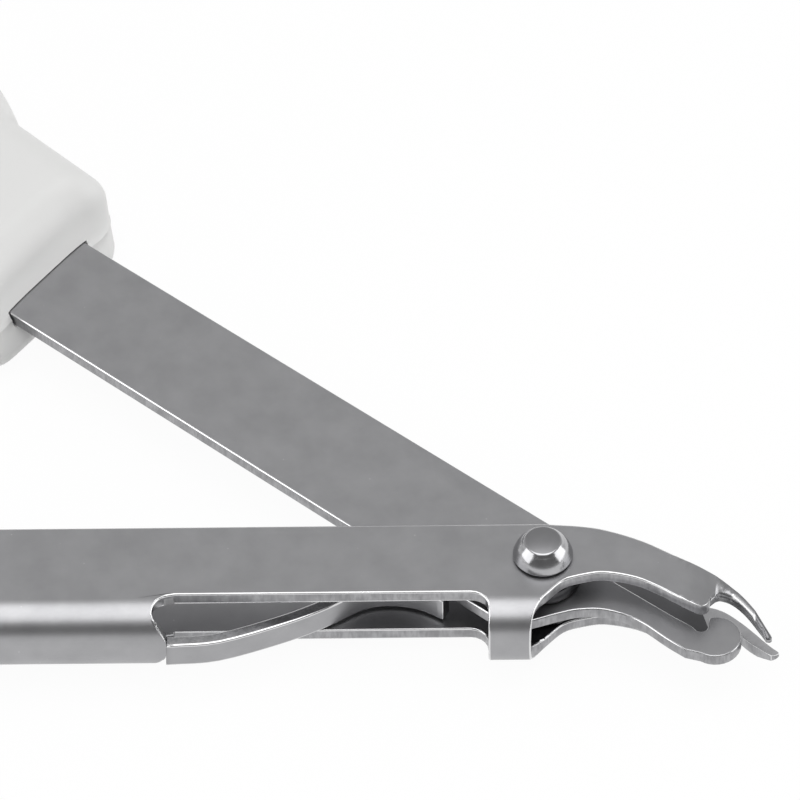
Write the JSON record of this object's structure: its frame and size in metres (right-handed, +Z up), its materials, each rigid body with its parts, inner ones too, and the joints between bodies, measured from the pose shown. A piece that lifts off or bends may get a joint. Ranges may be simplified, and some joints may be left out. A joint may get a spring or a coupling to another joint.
{
  "type": "skin staple remover",
  "caption": "Hand tool that takes out skin staples: folded steel channel with twin tines, flat lever with an anvil, pivot rivet, leaf spring and two moulded ring handles.",
  "frame": {"origin": "centre of the flat face of the pivot rivet's lower head, on the plane that the tool lies on", "axes": "+X along the channel from the handles towards the jaw tip, +Y across the flat tool towards the upper handle, +Z up along the pivot rivet"},
  "size_m": [0.1104, 0.0857, 0.009],
  "materials": {
    "stamped_steel": "satin, rolled sheet",
    "spring_steel": "satin, rolled sheet",
    "rivet_steel": "bright, tumbled",
    "white_plastic": "satin moulded"
  },
  "bodies": {
    "frame": {"frame_channel": "stamped_steel", "lower_handle": "white_plastic", "pivot_rivet": "rivet_steel", "upper_spacer_washer": "stamped_steel", "lower_spacer_washer": "stamped_steel"},
    "lever": {"anvil_lever": "stamped_steel", "upper_handle": "white_plastic"},
    "spring": {"leaf_spring": "spring_steel"}
  },
  "joints": [
    {"name": "lever_pivot", "type": "hinge", "parent": "frame", "child": "lever", "pos_m": [0, 0, 0.0045], "axis": [0, 0, 1], "range_deg": [0, 12.5], "stiffness_Nm_per_rad": 0.6},
    {"name": "spring_flex", "type": "hinge", "parent": "frame", "child": "spring", "pos_m": [-0.026, -0.00543, 0.0045], "axis": [0, 0, 1], "range_deg": [-4.7, 0]}
  ],
  "couplings": [
    {"joint": "spring_flex", "follows": "lever_pivot", "ratio": -0.36}
  ]
}
